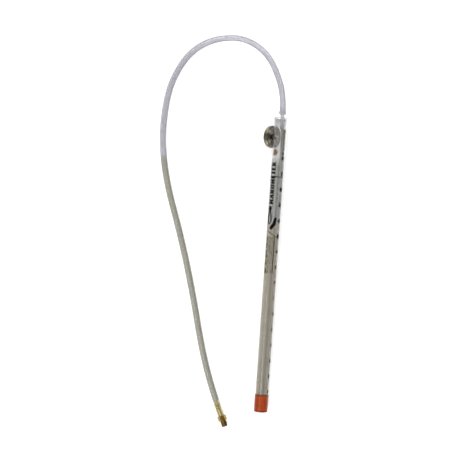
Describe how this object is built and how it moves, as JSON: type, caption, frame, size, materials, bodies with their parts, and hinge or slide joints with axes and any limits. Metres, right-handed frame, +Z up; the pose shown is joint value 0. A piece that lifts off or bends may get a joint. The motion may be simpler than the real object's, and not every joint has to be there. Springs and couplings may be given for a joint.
{
  "type": "tube manometer",
  "caption": "Clear water-column pressure gauge: graduated tube with an inner measuring tube, pull-off cap, vent plug, hanging magnet and a clear hose with a brass threaded end.",
  "frame": {"origin": "bottom centre of the box round the rigid pieces (without the hose and its fitting), on the surface that the gauge lies on", "axes": "+Y along the tube towards its hose end, as it lies tipped up about 1.9 degrees on its magnet; +Z up from the surface; +X to the right, seen from above with the hose end at the top"},
  "size_m": [0.2042, 0.6332, 0.0373],
  "materials": {
    "clear_tube": "clear rigid extruded plastic, slightly warm grey",
    "label_film": "thin clear film, gloss",
    "clear_plug": "clear moulded plastic, faint lavender",
    "clear_hose": "clear flexible vinyl, faint haze",
    "orange_vinyl": "glossy orange vinyl, slightly translucent",
    "plated_cup": "bright nickel plate",
    "ferrite": "dark sintered ferrite",
    "black_rubber": "matt black",
    "zinc_steel": "zinc plated",
    "brass": "turned brass, lightly tarnished",
    "black_ink": "screen-printed ink"
  },
  "bodies": {
    "gauge": {"outer_tube": "clear_tube", "scale_label": "label_film", "measuring_tube": "clear_tube", "top_plug": "clear_plug", "magnet_cup": "plated_cup", "magnet_ring": "ferrite", "magnet_spacer": "black_rubber", "magnet_screw": "zinc_steel", "magnet_nut": "zinc_steel", "hose": "clear_hose", "hose_fitting": "brass"},
    "bottom_cap": {"bottom_cap": "orange_vinyl"},
    "vent_plug": {"vent_plug": "orange_vinyl"}
  },
  "joints": [
    {"name": "cap_pull", "type": "slide", "parent": "gauge", "child": "bottom_cap", "axis": [0, -0.9994, -0.0334], "range_m": [0, 0.03]},
    {"name": "vent_pull", "type": "slide", "parent": "gauge", "child": "vent_plug", "axis": [-0.5446, 0.028, -0.8382], "range_m": [0, 0.01]}
  ]
}
